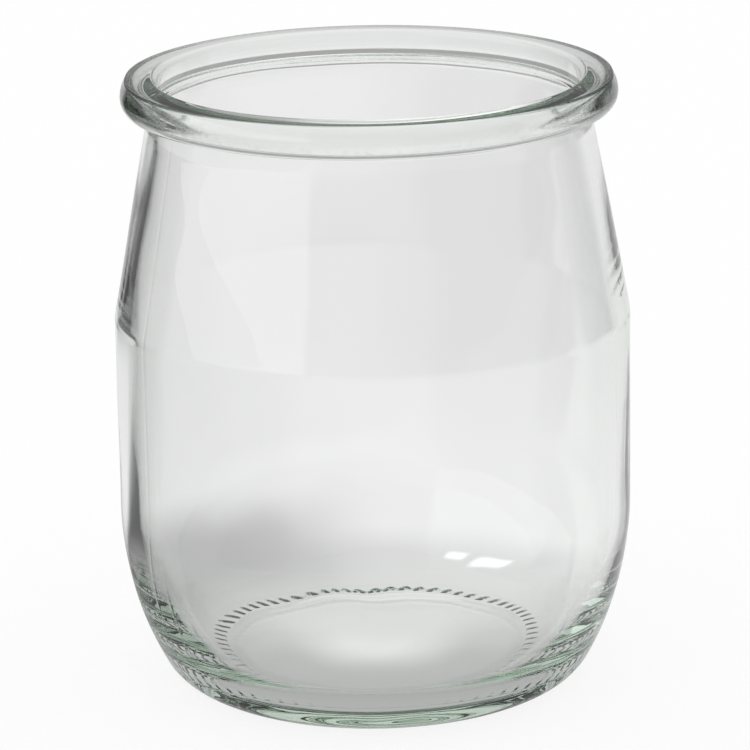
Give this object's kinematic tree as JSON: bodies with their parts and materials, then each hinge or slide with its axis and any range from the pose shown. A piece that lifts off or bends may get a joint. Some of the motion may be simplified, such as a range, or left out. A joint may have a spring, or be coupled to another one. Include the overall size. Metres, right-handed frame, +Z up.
{
  "type": "glass yogurt jar",
  "caption": "Empty clear glass yogurt jar with a rolled rim, a sloping shoulder, a straight body, a rounded heel and a knurled base ring.",
  "frame": {"origin": "centre of the flat ring that the jar stands on", "axes": "+Z up along the jar's axis, out of the mouth; X and Y across it"},
  "size_m": [0.063, 0.063, 0.0758],
  "materials": {
    "glass": "clear, slightly green soda-lime glass"
  },
  "bodies": {
    "root": {"jar": "glass"}
  },
  "joints": []
}
